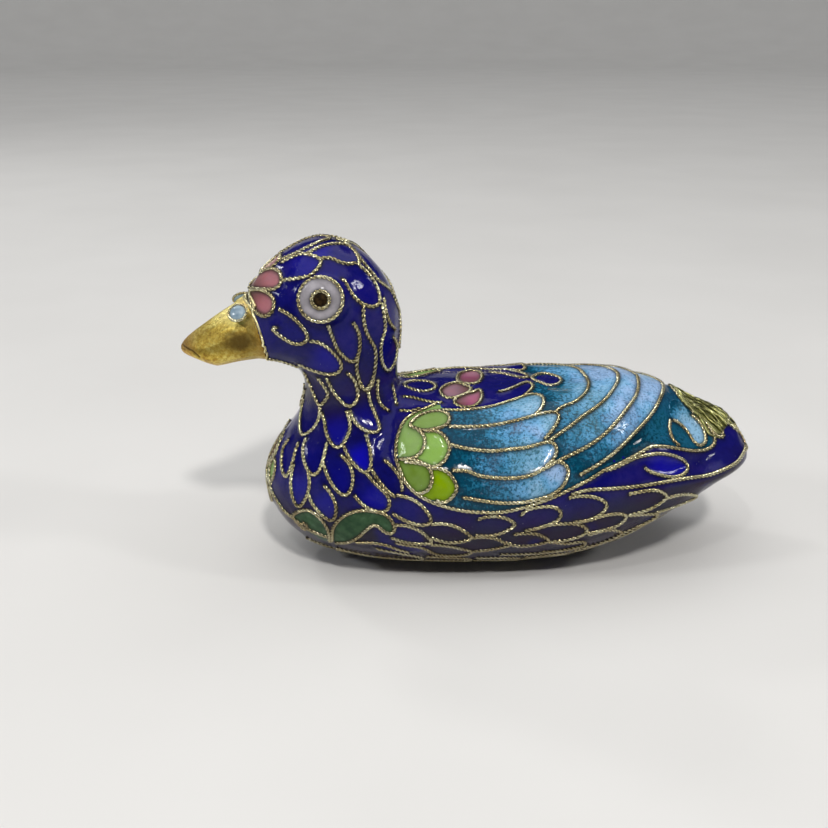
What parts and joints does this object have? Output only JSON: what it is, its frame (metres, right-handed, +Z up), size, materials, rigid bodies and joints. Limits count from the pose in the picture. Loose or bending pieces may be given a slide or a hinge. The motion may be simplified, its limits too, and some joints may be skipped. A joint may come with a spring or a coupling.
{
  "type": "cloisonne duck figurine",
  "caption": "Small enamelled copper duck ornament with raised gilt wires round its feathers and a gilt sheet-metal beak; sits by its own weight on a flattened belly.",
  "frame": {"origin": "middle of the length and width, on the surface that the duck sits on", "axes": "+X from the beak to the tail, +Z up, +Y to the duck's right; the duck is the same on both sides of the XZ plane"},
  "size_m": [0.0748, 0.0308, 0.0428],
  "materials": {
    "enamel": "glossy cobalt enamel on copper, with twisted gilt wires between the colours",
    "gilt": "gilt sheet metal, lightly dented and worn"
  },
  "bodies": {
    "root": {"duck_body": "enamel", "beak": "gilt"}
  },
  "joints": []
}
